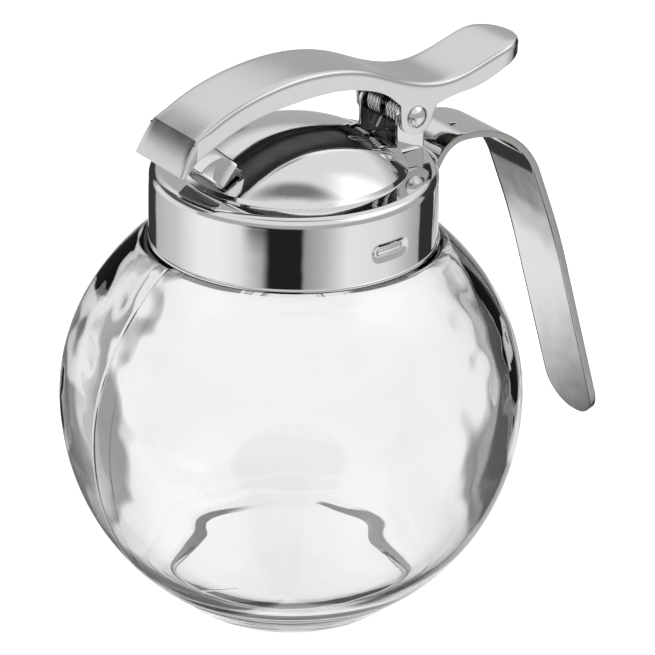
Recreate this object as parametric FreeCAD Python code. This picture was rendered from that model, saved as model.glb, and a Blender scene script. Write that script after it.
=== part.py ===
"""Glass honey dispenser with a polished steel spring lever top, in millimetres, +Z up.

Origin: centre of the jar's foot. The spout points to -X and the handle to +X.
Pieces: glass jar, drawn steel cap, rising spout, hinge bracket, rivet pin, double
torsion spring, pressed lever shell and a bent strap handle.
"""

import FreeCAD
import Part
import math
import os

Vector = FreeCAD.Vector

# ---- glass jar -------------------------------------------------------------
jar_radius = 48.9          # widest outer radius of the globe
jar_mid_z = 44.9           # height of the widest section
jar_upper_turn = (jar_radius - 4.6, 64.0)   # where the upper side's curve tightens
jar_lower_turn = (jar_radius - 5.2, 22.0)   # the same below the widest section
foot_radius = 24.6         # radius of the flat foot that the jar stands on
foot_height = 1.6          # height of the foot's short sloping edge
foot_step = 0.4            # how far that edge leans out
jar_wall = 3.0
jar_floor = 6.0            # thickness of the glass floor at its middle
floor_bend = 6.0           # round between the floor and the inner side
shoulder_z = 79.8          # glass shoulder just below the cap
shoulder_radius = 33.2     # where the globe's curve ends under the shoulder's rounded edge
neck_wall = 3.0
neck_fillet = 1.2
lug_height = 2.2           # glass lugs that the cap's dimples turn under
lug_proud = 1.3
lug_gap = 0.2              # between a lug and the dimple below it
lug_span_deg = 54.0

# ---- steel cap -------------------------------------------------------------
sheet = 0.8                # thickness of the cap, spout, bracket and lever sheet
cap_radius = 30.0
neck_clearance = 1.8       # between the neck's glass and the collar round it
neck_radius = cap_radius - sheet - neck_clearance
cap_bottom_z = 80.8
ledge_z = 96.6             # flat ledge round the dome
cap_fillet = 2.0           # round between the collar wall and the ledge
ledge_width = 7.1          # from the collar's outside to the dome
dome_base_radius = cap_radius - ledge_width
dome_step = 0.6            # small drawn step that the dome rises from
dome_height = 8.7          # from the step to the crown
seat_gap = 0.05            # between pieces that are brazed or seated
dimple_depth = 1.5         # the two slots pressed into the collar
dimple_length = 8.4
dimple_height = 3.2
dimple_ridge = 1.1         # ridge left standing inside each slot
dimple_z = 87.4
dimple_angle_deg = -82.0

# ---- hinge -----------------------------------------------------------------
pivot_x = cap_radius - 4.8  # the hinge stands on the ledge
pivot_z = 104.1
pin_radius = 1.5
pin_head_radius = 2.4
pin_head_height = 1.3
pin_head_gap = 0.1         # between each rivet head and the lever's ear
lever_bore_clearance = 0.06
bracket_bore_clearance = 0.03
ear_radius = 4.0           # round of the lever's ears

# ---- lever -----------------------------------------------------------------
lever_width = 16.0
lever_edge_round = 1.0     # rounded top edges of the pressed shell
pad_end_radius = 7.9       # round of the thumb pad's end, seen from above

# ---- spout -----------------------------------------------------------------
spout_rise_deg = 40.0
spout_width = 13.6
spout_height = 6.4         # across the tube, square to its run
spout_round = 0.9
spout_floor_x = 2.3 - dome_base_radius   # where its underside meets the ledge's height
hood_gap = 0.35            # between the tube's mouth and the lever's hood

# ---- hinge bracket -----------------------------------------------------------
bracket_side_gap = 0.3     # between each bracket ear and the lever's flange
bracket_front_x = pivot_x - 4.1
bracket_back_x = pivot_x + 3.2
bracket_web_top = 101.2
bracket_ear_radius = 3.5

# ---- double torsion spring ---------------------------------------------------
wire = 1.0
coil_radius = 2.9          # to the wire's centre
coil_pitch = 1.06
coil_full_turns = 4
coil_start_deg = -30.0     # where each foot leaves its coil, from +X towards +Z
coil_end_deg = 50.0        # where the centre loop leaves the coils
loop_reach = 8.9           # from the coils to the loop's end under the lever's skin
coil_end_gap = 0.15        # between the outer turns and the bracket's ears
coil_steps = 14            # sections along each turn
wire_sides = 6

# ---- strap handle --------------------------------------------------------------
strap_width = 16.0
strap_thick = 1.5
strap_top_z = 97.7
strap_run = 26.2           # from the collar to where the level run would meet the lean
strap_corner_x = cap_radius + strap_run
strap_lean_deg = 16.6
strap_foot_z = 20.0        # lowest point of the handle's rounded tip
strap_neck_bend = 8.0      # outer bend radius above the collar
strap_back_bend = 21.0     # outer bend radius at the back
strap_tip_radius = 7.4
tab_bottom_z = 83.0
tab_top_z = 89.4
neck_flare_z = 94.0         # height where the strap is flat again above its saddle

half_lever = lever_width / 2.0
half_bracket = half_lever - sheet - bracket_side_gap
dome_z0 = ledge_z + dome_step
crown_z = dome_z0 + dome_height
bend_share = 0.98          # most of a run that the bend at its end may take up
bore_length = 40.0         # longer than any piece that a bore goes through


def xz(x, z):
    """Point in the plane of symmetry."""
    return Vector(x, 0, z)


def line(a, b):
    """Straight edge."""
    return Part.LineSegment(a, b).toShape()


def arc(a, b, c):
    """Arc through three points."""
    return Part.Arc(a, b, c).toShape()


def spline(points):
    """Smooth edge through the points."""
    curve = Part.BSplineCurve()
    curve.interpolate(points)
    return curve.toShape()


def revolved(edges):
    """Solid of revolution about Z from a closed half outline."""
    return Part.Face(Part.Wire(edges)).revolve(Vector(), Vector(0, 0, 1), 360)


def extruded_y(edges, half_width):
    """Solid from a closed outline in XZ, centred on the plane of symmetry."""
    face = Part.Face(Part.Wire(edges))
    face.translate(Vector(0, -half_width, 0))
    return face.extrude(Vector(0, 2 * half_width, 0))


def bore_y(radius, x, z):
    """Long cylinder along Y for a pin bore."""
    start = Vector(x, -bore_length / 2, z)
    return Part.makeCylinder(radius, bore_length, start, Vector(0, 1, 0))


# ---- jar ---------------------------------------------------------------------
def tangent_centre(start, normal, end):
    """Centre of the arc that leaves start square to normal and passes through end."""
    chord = end - start
    return start + normal * (chord.dot(chord) / (2 * chord.dot(normal)))


def side_arcs(turn, end, inset):
    """Two smooth arcs from the widest section over a turn to an end, moved in by inset."""
    widest = xz(jar_radius, jar_mid_z)
    over = xz(*turn)
    first = tangent_centre(widest, xz(-1, 0), over)
    normal = (first - over).normalize()
    second = tangent_centre(over, normal, end)
    edges = []
    for centre, a, b in ((first, widest, over), (second, over, end)):
        radius = (a - centre).Length - inset
        rays = [(a - centre).normalize(), None, (b - centre).normalize()]
        rays[1] = (rays[0] + rays[2]).normalize()
        edges.append(arc(*[centre + ray * radius for ray in rays]))
    return edges


def edge_end(edge, last=True):
    """One end point of an edge, along its own direction."""
    return edge.valueAt(edge.LastParameter if last else edge.FirstParameter)


def jar_outside():
    """Body of the jar with no hollow."""
    shoulder = xz(shoulder_radius, shoulder_z - neck_fillet)
    foot = xz(foot_radius + foot_step, foot_height)
    upper = side_arcs(jar_upper_turn, shoulder, 0)
    lower = side_arcs(jar_lower_turn, foot, 0)
    lip = xz(shoulder.x - neck_fillet, shoulder_z)
    bulge = neck_fillet * math.sqrt(0.5)
    mid = xz(lip.x + bulge, shoulder.z + bulge)
    rim_z = ledge_z - sheet - seat_gap
    edges = [
        line(xz(0, 0), xz(foot_radius, 0)),
        line(xz(foot_radius, 0), foot),
        lower[1], lower[0], upper[0], upper[1],
        arc(shoulder, mid, lip),
        line(lip, xz(neck_radius, shoulder_z)),
        line(xz(neck_radius, shoulder_z), xz(neck_radius, rim_z)),
        line(xz(neck_radius, rim_z), xz(0, rim_z)),
        line(xz(0, rim_z), xz(0, 0)),
    ]
    return revolved(edges)


def jar_inside():
    """The jar's hollow, from its floor out of its mouth."""
    mouth = neck_radius - neck_wall
    shoulder = xz(shoulder_radius, shoulder_z - neck_fillet)
    foot = xz(foot_radius + foot_step, foot_height)
    upper = side_arcs(jar_upper_turn, shoulder, jar_wall)
    lower = side_arcs(jar_lower_turn, foot, jar_wall)
    low = edge_end(lower[1])
    high = edge_end(upper[1])
    throat = xz(mouth, shoulder_z + neck_fillet)
    top = xz(mouth, ledge_z)
    axis_top = xz(0, ledge_z)
    globe = revolved([
        line(xz(0, low.z), low), lower[1], lower[0], upper[0], upper[1],
        line(high, throat), line(throat, top), line(top, axis_top),
        line(axis_top, xz(0, low.z)),
    ])
    floor = Part.makeCylinder(jar_radius, jar_floor)
    hollow = globe.cut(floor)
    rounded = [e for e in hollow.Edges if abs(e.BoundBox.ZMax - jar_floor) < 0.01
               and e.BoundBox.ZLength < 0.01 and e.BoundBox.XLength > 1]
    return hollow.makeFillet(floor_bend, rounded)


def glass_lugs():
    """Two short ramps on the neck, one above each dimple of the collar."""
    low = dimple_z + dimple_height / 2 + sheet + lug_gap
    lugs = []
    for half_turn in (0.0, 180.0):
        block = Part.makeCylinder(
            neck_radius + lug_proud, lug_height, Vector(0, 0, low), Vector(0, 0, 1), lug_span_deg)
        core = Part.makeCylinder(neck_radius - 1.0, lug_height, Vector(0, 0, low))
        lug = block.cut(core)
        lug.rotate(Vector(), Vector(0, 0, 1), dimple_angle_deg + half_turn - lug_span_deg / 2)
        lugs.append(lug)
    return lugs


def make_jar():
    """Globe jar with a solid floor, a shoulder, a neck and two lugs."""
    solid = jar_outside().fuse(glass_lugs())
    return solid.cut(jar_inside()).removeSplitter()


# ---- cap ---------------------------------------------------------------------
def dome_sphere(offset):
    """Centre height and radius of the dome's sphere, moved in by offset."""
    rise, base = dome_height, dome_base_radius
    radius = (base * base + rise * rise) / (2 * rise)
    return crown_z - radius, radius - offset


def cap_body(offset, bottom):
    """The cap as a full body, every face moved in by offset."""
    centre_z, radius = dome_sphere(offset)
    wall = cap_radius - offset
    ledge = ledge_z - offset
    fillet = cap_fillet - offset
    step_z = dome_z0 - offset
    base = math.sqrt(radius * radius - (step_z - centre_z) ** 2)
    turn = math.asin(base / radius) / 2
    slant = math.sqrt(0.5)
    edges = [
        line(xz(0, bottom), xz(wall, bottom)),
        line(xz(wall, bottom), xz(wall, ledge - fillet)),
        arc(
            xz(wall, ledge - fillet),
            xz(wall - fillet + fillet * slant, ledge - fillet + fillet * slant),
            xz(wall - fillet, ledge)),
        line(xz(wall - fillet, ledge), xz(base + dome_step, ledge)),
        line(xz(base + dome_step, ledge), xz(base, step_z)),
        arc(
            xz(base, step_z),
            xz(radius * math.sin(turn), centre_z + radius * math.cos(turn)),
            xz(0, centre_z + radius)),
        line(xz(0, centre_z + radius), xz(0, bottom)),
    ]
    return revolved(edges)


def dimple_slot(length, height, inner, outer):
    """Oblong slot that reaches through the wall from radius inner to outer."""
    depth = outer - inner
    flat = length - height
    block = Part.makeBox(depth, flat, height, Vector(inner, -flat / 2, -height / 2))
    ends = [
        Part.makeCylinder(height / 2, depth, Vector(inner, side * flat / 2, 0), Vector(1, 0, 0))
        for side in (-1, 1)]
    return block.fuse(ends).removeSplitter()


def placed_dimple(shape, half_turn):
    """Moves a shape made at +X to a dimple's place on the collar."""
    shape.rotate(Vector(), Vector(0, 0, 1), dimple_angle_deg + half_turn)
    shape.translate(Vector(0, 0, dimple_z))
    return shape


def make_cap():
    """Drawn cap: collar, ledge and dome in one sheet, with two pressed slots."""
    shell = cap_body(0, cap_bottom_z).cut(cap_body(sheet, cap_bottom_z - 1))
    pressed = dimple_height + 2 * sheet
    for half_turn in (0.0, 180.0):
        inner = cap_radius - sheet - dimple_depth
        pocket = dimple_slot(dimple_length + 2 * sheet, pressed, inner, cap_radius - sheet / 2)
        hollow = dimple_slot(dimple_length, dimple_height, inner + sheet, cap_radius + 1)
        ridge = dimple_slot(
            dimple_length - 2.2, dimple_ridge, inner + sheet / 2, cap_radius - 0.5)
        shell = shell.fuse(placed_dimple(pocket, half_turn))
        shell = shell.cut(placed_dimple(hollow, half_turn))
        shell = shell.fuse(placed_dimple(ridge, half_turn))
    return shell.cut(spout_run(sheet)).removeSplitter()


# ---- lever -------------------------------------------------------------------
def from_pivot(x, z):
    """Point of the lever's side outline, measured from the hinge's axis."""
    return xz(pivot_x + x, pivot_z + z)


hood_foot = from_pivot(-58.3, -0.5)       # lower edge of the hood plate
hood_crease = from_pivot(-54.2, 6.2)     # fold between the hood plate and the arch
pad_end = from_pivot(30.1, 11.1)          # end of the thumb pad's top
arch_points = [
    hood_crease, from_pivot(-47.7, 9.8), from_pivot(-38.2, 13), from_pivot(-28.2, 14.4),
    from_pivot(-18.7, 13.9),
    from_pivot(-11.7, 12.1), from_pivot(-4.7, 9.2), from_pivot(1.8, 7.1), from_pivot(7.8, 6.5),
    from_pivot(13.8, 7.6),
    from_pivot(19.8, 9.6), from_pivot(24.8, 10.9), pad_end,
]
front_skirt = [                    # lower edge of the flange, from the ear forward
    from_pivot(-4.2, 3.3), from_pivot(-7.7, 6.3), from_pivot(-12.7, 8.4),
    from_pivot(-19.7, 9.7), from_pivot(-30.2, 9.4),
    from_pivot(-39.2, 8.1), from_pivot(-45.2, 6.1), from_pivot(-49.4, 4.1),
]
rear_skirt = [                     # lower edge of the flange, from the ear back
    from_pivot(5.2, 1.8), from_pivot(9.8, 2.9), from_pivot(15.8, 3.7), from_pivot(20.8, 5.5),
    from_pivot(25.8, 7.5),
    from_pivot(30.1, 8.7),
]


def inward(points, distance):
    """Points of a line moved square to it, to the right of its direction."""
    moved = []
    last = len(points) - 1
    for i, point in enumerate(points):
        along = points[min(i + 1, last)] - points[max(i - 1, 0)]
        along.normalize()
        moved.append(point + xz(along.z, -along.x) * distance)
    return moved


def lever_side():
    """Closed side outline of the lever without its ears' round ends."""
    ear_front = xz(pivot_x - ear_radius, pivot_z)
    ear_back = xz(pivot_x + ear_radius, pivot_z)
    edges = [
        line(hood_foot, hood_crease),
        spline(arch_points),
        line(pad_end, rear_skirt[-1]),
        spline(rear_skirt[::-1]),
        line(rear_skirt[0], ear_back),
        arc(ear_back, xz(pivot_x, pivot_z - ear_radius), ear_front),
        line(ear_front, front_skirt[0]),
        spline(front_skirt),
        line(front_skirt[-1], hood_foot),
    ]
    return edges


def lever_hollow_side(gap):
    """Side outline of the space under the lever's skin, gap in from its outside."""
    arch = inward(arch_points, gap)
    plate = inward([hood_foot, hood_crease], gap)
    front = arch[0] + (plate[1] - arch[0]) * 0.5
    down = plate[0] + (plate[0] - plate[1])
    low = pivot_z - 3 * ear_radius
    far = xz(arch[-1].x + 2 * ear_radius, arch[-1].z - 0.5 * ear_radius)
    corner = xz(far.x, low)
    arch[0] = front
    return [
        line(down, front),
        spline(arch),
        line(arch[-1], far),
        line(far, corner),
        line(corner, xz(down.x, low)),
        line(xz(down.x, low), down),
    ]


def plan_outline(inset):
    """Block with the lever's outline seen from above, its pad end rounded."""
    half = half_lever - inset
    end = pad_end.x - inset
    bend = pad_end_radius - inset
    front = hood_foot.x - 2
    shift = bend * math.sqrt(0.5)
    centre = end - bend
    flat = half - bend
    base = Vector(0, 0, pivot_z - 2 * ear_radius)

    def at(x, y):
        return Vector(x, y, base.z)

    edges = [
        line(at(front, -half), at(centre, -half)),
        arc(at(centre, -half), at(centre + shift, -flat - shift), at(end, -flat)),
        line(at(end, -flat), at(end, flat)),
        arc(at(end, flat), at(centre + shift, flat + shift), at(centre, half)),
        line(at(centre, half), at(front, half)),
        line(at(front, half), at(front, -half)),
    ]
    return Part.Face(Part.Wire(edges)).extrude(Vector(0, 0, 40))


def top_long_edges(shape):
    """The two long curved edges where the arch meets the flanges."""
    picked = []
    for edge in shape.Edges:
        box = edge.BoundBox
        flat = box.YLength < 0.01 and abs(abs(box.YMin) - half_lever) < 0.01
        if flat and box.ZMax > 118 and box.XLength > 60:
            picked.append(edge)
    return picked


def make_lever():
    """Pressed lever: hood plate, arched top with flanges, hinge ears and thumb pad."""
    solid = extruded_y(lever_side(), half_lever).common(plan_outline(0))
    solid = solid.makeFillet(lever_edge_round, top_long_edges(solid))
    hollow = extruded_y(lever_hollow_side(sheet), half_lever - sheet)
    hollow = hollow.common(plan_outline(sheet))
    bore = bore_y(pin_radius + lever_bore_clearance, pivot_x, pivot_z)
    return solid.cut(hollow).cut(bore)


# ---- spout -------------------------------------------------------------------
def spout_run(inset):
    """Rectangular bar along the spout's rise, its faces moved in by inset."""
    height = spout_height - 2 * inset
    width = spout_width - 2 * inset
    length = 2 * bore_length
    bar = Part.makeBox(length, width, height, Vector(-8, -width / 2, inset))
    if inset == 0:
        long_edges = [e for e in bar.Edges if e.BoundBox.XLength > length - 1]
        bar = bar.makeFillet(spout_round, long_edges)
    bar.rotate(Vector(), Vector(0, 0, 1), 180)
    bar.rotate(Vector(), Vector(0, 1, 0), spout_rise_deg)
    bar.translate(xz(spout_floor_x, ledge_z))
    return bar


def make_spout():
    """Rising square tube that the lever's hood closes."""
    tube = spout_run(0).cut(spout_run(sheet))
    under_skin = extruded_y(lever_hollow_side(sheet + hood_gap), half_lever)
    above_cap = cap_body(-seat_gap, cap_bottom_z)
    return tube.common(under_skin).cut(above_cap)


# ---- bracket and pin -----------------------------------------------------------
def make_bracket():
    """Upright channel on the ledge: two ears joined by a web at the back."""
    round_top = xz(pivot_x, pivot_z + bracket_ear_radius)
    base = ledge_z - 2
    side = [
        line(xz(bracket_front_x, base), xz(bracket_front_x, pivot_z)),
        arc(xz(bracket_front_x, pivot_z), round_top, xz(bracket_back_x, pivot_z)),
        line(xz(bracket_back_x, pivot_z), xz(bracket_back_x, base)),
        line(xz(bracket_back_x, base), xz(bracket_front_x, base)),
    ]
    block = extruded_y(side, half_bracket)
    length = bracket_back_x - bracket_front_x
    inner_half = half_bracket - sheet
    gap = Part.makeBox(
        length, 2 * inner_half, 20, Vector(bracket_front_x - sheet, -inner_half, base))
    over_web = Part.makeBox(
        length, 2 * inner_half, 20, Vector(bracket_front_x, -inner_half, bracket_web_top))
    block = block.cut([gap, over_web])
    block = block.cut(cap_body(-seat_gap, cap_bottom_z))
    return block.cut(bore_y(pin_radius + bracket_bore_clearance, pivot_x, pivot_z))


def make_pin():
    """Rivet: a shank with a domed head outside each of the lever's ears."""
    half = half_lever + pin_head_gap
    crown = half + pin_head_height
    ball = (pin_head_radius ** 2 + pin_head_height ** 2) / (2 * pin_head_height)
    turn = math.asin(pin_head_radius / ball) / 2
    edges = [
        line(Vector(0, 0, 0), Vector(pin_radius, 0, 0)),
        line(Vector(pin_radius, 0, 0), Vector(pin_radius, half, 0)),
        line(Vector(pin_radius, half, 0), Vector(pin_head_radius, half, 0)),
        arc(
            Vector(pin_head_radius, half, 0),
            Vector(ball * math.sin(turn), crown - ball * (1 - math.cos(turn)), 0),
            Vector(0, crown, 0)),
        line(Vector(0, crown, 0), Vector(0, 0, 0)),
    ]
    side = Part.Face(Part.Wire(edges)).revolve(Vector(), Vector(0, 1, 0), 360)
    pin = side.fuse(side.mirror(Vector(), Vector(0, 1, 0))).removeSplitter()
    pin.translate(xz(pivot_x, pivot_z))
    return pin


# ---- spring --------------------------------------------------------------------
def spring_half():
    """Centres of the wire from one foot to the middle of the centre loop."""
    turns = coil_full_turns + (coil_end_deg - coil_start_deg) / 360.0
    outer_y = half_bracket - sheet - coil_end_gap - wire / 2
    inner_y = outer_y - coil_pitch * turns
    steps = int(turns * coil_steps)
    start = math.radians(coil_start_deg)
    axis = xz(pivot_x, pivot_z)

    def on_coil(share):
        angle = start + 2 * math.pi * turns * share
        out = xz(math.cos(angle), math.sin(angle))
        ahead = xz(-math.sin(angle), math.cos(angle))
        y = outer_y + (inner_y - outer_y) * share
        return axis + out * coil_radius + Vector(0, y, 0), ahead

    first, first_way = on_coil(0.0)
    last, last_way = on_coil(1.0)
    drop = first.z - (ledge_z + wire)
    foot = first - first_way * (drop / first_way.z)
    points = [foot] + [on_coil(i / steps)[0] for i in range(steps + 1)]
    for reach, pull in ((0.75, 0.0), (0.93, 0.25), (1.0, 0.65), (1.0, 1.0)):
        point = last + last_way * (loop_reach * reach)
        points.append(Vector(point.x, inner_y * (1 - pull), point.z))
    return points


def make_spring():
    """Double torsion spring lofted through sections square to its wire."""
    half = spring_half()
    other = [Vector(p.x, -p.y, p.z) for p in reversed(half[:-1])]
    path = half + other
    last = len(path) - 1
    sections = []
    up = Vector(0, 1, 0)
    for i, centre in enumerate(path):
        along = (path[min(i + 1, last)] - path[max(i - 1, 0)]).normalize()
        up = (up - along * up.dot(along)).normalize()
        side = along.cross(up)
        ring = []
        for k in range(wire_sides):
            angle = 2 * math.pi * k / wire_sides
            ring.append(centre + (up * math.cos(angle) + side * math.sin(angle)) * (wire / 2))
        sections.append(Part.makePolygon(ring + [ring[0]]))
    return Part.makeLoft(sections, True, True)


# ---- handle --------------------------------------------------------------------
def strap_centre_corners(depth):
    """Corners of the strap's side line, depth in from its outer face."""
    lean = math.radians(strap_lean_deg)
    top = strap_top_z - depth
    shift = depth * (1 - math.sin(lean)) / math.cos(lean)
    corner_x = strap_corner_x - shift
    foot_x = corner_x + (top - strap_foot_z) * math.tan(lean)
    return [
        xz(cap_radius + seat_gap + depth, tab_top_z),
        xz(cap_radius + seat_gap + depth, top),
        xz(corner_x, top),
        xz(foot_x, strap_foot_z),
    ]


def rounded_line(corners, radii):
    """Edges along the corners, each inner corner turned with its radius if its run has room."""
    edges = []
    start = corners[0]
    for i, radius in enumerate(radii):
        before, corner, after = corners[i], corners[i + 1], corners[i + 2]
        back = (before - corner).normalize()
        ahead = (after - corner).normalize()
        half = back.getAngle(ahead) / 2
        radius = min(radius, bend_share * (corner - start).Length * math.tan(half))
        reach = radius / math.tan(half)
        middle = (back + ahead).normalize()
        centre = corner + middle * (radius / math.sin(half))
        edges.append(line(start, corner + back * reach))
        edges.append(arc(corner + back * reach, centre - middle * radius, corner + ahead * reach))
        start = corner + ahead * reach
    edges.append(line(start, corners[-1]))
    return edges


def tip_block():
    """Outline of the strap seen from the back, its lower end rounded."""
    half = strap_width / 2
    bend = strap_tip_radius
    flat = half - bend
    low = strap_foot_z
    shift = bend * (1 - math.sqrt(0.5))
    high = strap_top_z + 5

    def at(y, z):
        return Vector(0, y, z)

    edges = [
        line(at(-half, high), at(-half, low + bend)),
        arc(at(-half, low + bend), at(-half + shift, low + shift), at(-flat, low)),
        line(at(-flat, low), at(flat, low)),
        arc(at(flat, low), at(half - shift, low + shift), at(half, low + bend)),
        line(at(half, low + bend), at(half, high)),
        line(at(half, high), at(-half, high)),
    ]
    return Part.Face(Part.Wire(edges)).extrude(Vector(200, 0, 0))


def saddle_section(z):
    """Closed section of the tab where it hugs the collar's wall."""
    inner = cap_radius + seat_gap
    outer = inner + strap_thick
    turn = math.asin(strap_width / 2 / outer)

    def at(radius, angle):
        return Vector(radius * math.cos(angle), radius * math.sin(angle), z)

    inner_turn = math.asin(strap_width / 2 / inner)
    return Part.Wire([
        arc(at(outer, -turn), at(outer, 0), at(outer, turn)),
        line(at(outer, turn), at(inner, inner_turn)),
        arc(at(inner, inner_turn), at(inner, 0), at(inner, -inner_turn)),
        line(at(inner, -inner_turn), at(outer, -turn)),
    ])


def make_handle():
    """Strap handle: saddle tab on the collar, two bends and a long leaning grip."""
    outer = rounded_line(strap_centre_corners(0), (strap_neck_bend, strap_back_bend))
    inner = rounded_line(
        strap_centre_corners(strap_thick),
        (strap_neck_bend - strap_thick, strap_back_bend - strap_thick))
    head = line(inner[0].Vertexes[0].Point, outer[0].Vertexes[0].Point)
    foot = line(outer[-1].Vertexes[-1].Point, inner[-1].Vertexes[-1].Point)
    edges = [head] + outer + [foot] + inner[::-1]
    strap = extruded_y(edges, strap_width / 2).common(tip_block())
    tab = Part.makeLoft([saddle_section(tab_bottom_z), saddle_section(tab_top_z)], True, True)
    round_tab = dimple_slot(strap_width, strap_width * 0.8, 0, 2 * cap_radius)
    round_tab.translate(Vector(0, 0, tab_top_z - 0.2))
    tab = tab.common(round_tab)
    hug = cap_radius + seat_gap + strap_thick
    flare = neck_flare_z - tab_top_z
    keep = Part.makeCone(hug, hug + flare, flare, Vector(0, 0, tab_top_z))
    ring = Part.makeCylinder(hug + 2 * flare, flare, Vector(0, 0, tab_top_z)).cut(keep)
    strap = strap.cut(ring)
    return strap.fuse(tab).cut(cap_body(-seat_gap, cap_bottom_z)).removeSplitter()


PARTS = {
    "glass_jar": make_jar,
    "cap": make_cap,
    "spout": make_spout,
    "hinge_bracket": make_bracket,
    "rivet_pin": make_pin,
    "torsion_spring": make_spring,
    "lever": make_lever,
    "handle_strap": make_handle,
}

os.makedirs("parts", exist_ok=True)
for name, make in PARTS.items():
    shape = make()
    solids = shape.Solids
    print(name, len(solids), "solid", shape.isValid(), round(shape.Volume, 1), "mm3")
    shape.exportStep("parts/" + name + ".step")
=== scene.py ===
"""Visible pieces, finishes and studio of a glass honey dispenser with a steel lever cap."""

import logging
from dataclasses import dataclass
from enum import Enum
from math import asin, atan2, cos, hypot, pi, radians, sin, sqrt, tan
from typing import Callable

import bmesh
import bpy
import numpy as np
from mathutils import Matrix, Vector, noise


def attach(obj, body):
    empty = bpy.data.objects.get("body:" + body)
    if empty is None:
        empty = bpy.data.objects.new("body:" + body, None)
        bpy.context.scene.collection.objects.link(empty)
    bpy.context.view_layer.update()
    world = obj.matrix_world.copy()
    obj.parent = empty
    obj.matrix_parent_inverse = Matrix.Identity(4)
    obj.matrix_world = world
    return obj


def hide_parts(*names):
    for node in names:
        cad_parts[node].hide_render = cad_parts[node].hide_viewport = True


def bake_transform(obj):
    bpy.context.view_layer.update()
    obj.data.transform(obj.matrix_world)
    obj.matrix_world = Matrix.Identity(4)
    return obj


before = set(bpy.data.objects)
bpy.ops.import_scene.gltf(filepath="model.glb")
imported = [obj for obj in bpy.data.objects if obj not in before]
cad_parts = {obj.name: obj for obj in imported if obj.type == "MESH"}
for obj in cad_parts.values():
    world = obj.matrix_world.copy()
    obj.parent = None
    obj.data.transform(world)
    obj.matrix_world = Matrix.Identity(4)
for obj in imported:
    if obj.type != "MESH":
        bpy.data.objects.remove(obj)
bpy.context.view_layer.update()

LOG = logging.getLogger("honey_dispenser")
MM = 0.001
JAR_BODY = "jar_and_cap"
LEVER_BODY = "lever"
ORIGIN = (0, 0, 0)
UP = Vector((0, 0, 1))
Pair = tuple[float, float]
Triple = tuple[float, float, float]
Node, Socket, Tree = bpy.types.Node, bpy.types.NodeSocket, bpy.types.NodeTree
Material, Object, Shape = bpy.types.Material, bpy.types.Object, bmesh.types.BMesh


class Slot(Enum):
    """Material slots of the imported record."""

    GLASS = "glass"
    POLISHED = "polished_steel"
    SATIN = "satin_steel"
    WIRE = "spring_wire"


# ---- shaping helpers; all lengths are in millimetres --------
def flat(x: float, z: float) -> Vector:
    """Point of a side outline."""
    return Vector((x, 0.0, z))


def arc_points(centre: Vector, start: Vector, end: Vector, steps: int) -> list[Vector]:
    """Points of the shorter arc round a centre in the XZ plane.

    Args:
        centre: Centre of the arc.
        start: First point of the arc.
        end: Last point of the arc.
        steps: Number of chords.

    Returns:
        The points in order, both ends included.
    """
    first = atan2(start.z - centre.z, start.x - centre.x)
    turn = atan2(end.z - centre.z, end.x - centre.x) - first
    turn = (turn + pi) % (2 * pi) - pi
    radius = (start - centre).length
    angles = [first + turn * i / steps for i in range(steps + 1)]
    return [centre + flat(cos(a), sin(a)) * radius for a in angles]


def rounded(corners: list[Vector], radii: list[float], steps: int) -> list[Vector]:
    """Line through the corners with each inner corner turned to a radius.

    Args:
        corners: Corners of the line, ends included.
        radii: Radius at each inner corner.
        steps: Chords of each turn.

    Returns:
        The points in order.
    """
    points = [corners[0]]
    for before, corner, after, radius in zip(corners, corners[1:], corners[2:], radii):
        back = (before - corner).normalized()
        ahead = (after - corner).normalized()
        half = back.angle(ahead) / 2
        reach = radius / tan(half)
        centre = corner + (back + ahead).normalized() * (radius / sin(half))
        points += arc_points(centre, corner + back * reach, corner + ahead * reach, steps)
    points.append(corners[-1])
    return points


def natural_spline(points: list[Pair], count: int) -> np.ndarray:
    """Samples of the natural cubic line through points, by chord length.

    Args:
        points: Places that the line passes through.
        count: Number of samples.

    Returns:
        An array of count rows of X and Z.
    """
    knots = np.array(points, float)
    chord = np.concatenate([[0.0], np.cumsum(np.linalg.norm(np.diff(knots, axis=0), axis=1))])
    size = len(knots)
    gap = np.diff(chord)
    system = np.eye(size)
    right = np.zeros((size, 2))
    for i in range(1, size - 1):
        system[i, i - 1:i + 2] = gap[i - 1], 2 * (gap[i - 1] + gap[i]), gap[i]
        right[i] = 6 * ((knots[i + 1] - knots[i]) / gap[i] - (knots[i] - knots[i - 1]) / gap[i - 1])
    bend = np.linalg.solve(system, right)
    place = np.linspace(0, chord[-1], count)
    k = np.clip(np.searchsorted(chord, place, side="right") - 1, 0, size - 2)
    a, b, h = (chord[k + 1] - place)[:, None], (place - chord[k])[:, None], gap[k][:, None]
    return (bend[k] * a ** 3 + bend[k + 1] * b ** 3) / (6 * h) + (
        knots[k] / h - bend[k] * h / 6) * a + (knots[k + 1] / h - bend[k + 1] * h / 6) * b


def height_on(line: np.ndarray, x: float) -> float:
    """Height of a line of X and Z rows at x."""
    return float(np.interp(x, line[:, 0], line[:, 1]))


def smooth_step(low: float, high: float, value: float) -> float:
    """Share from 0 to 1 of value between low and high, eased at both ends."""
    share = min(max((value - low) / (high - low), 0.0), 1.0)
    return share * share * (3 - 2 * share)


def spun(points: list[Vector], steps: int) -> Shape:
    """Surface of revolution about Z.

    Args:
        points: Half outline.
        steps: Sections round the axis.

    Returns:
        The mesh, its poles closed and its faces outwards.
    """
    merge = 1e-4
    shape = bmesh.new()
    verts = [shape.verts.new(point) for point in points]
    edges = [shape.edges.new(pair) for pair in zip(verts, verts[1:])]
    bmesh.ops.spin(
        shape, geom=verts + edges, cent=ORIGIN, axis=UP, angle=2 * pi, steps=steps,
        use_merge=True)
    bmesh.ops.remove_doubles(shape, verts=shape.verts[:], dist=merge)
    bmesh.ops.recalc_face_normals(shape, faces=shape.faces[:])
    return shape


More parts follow.
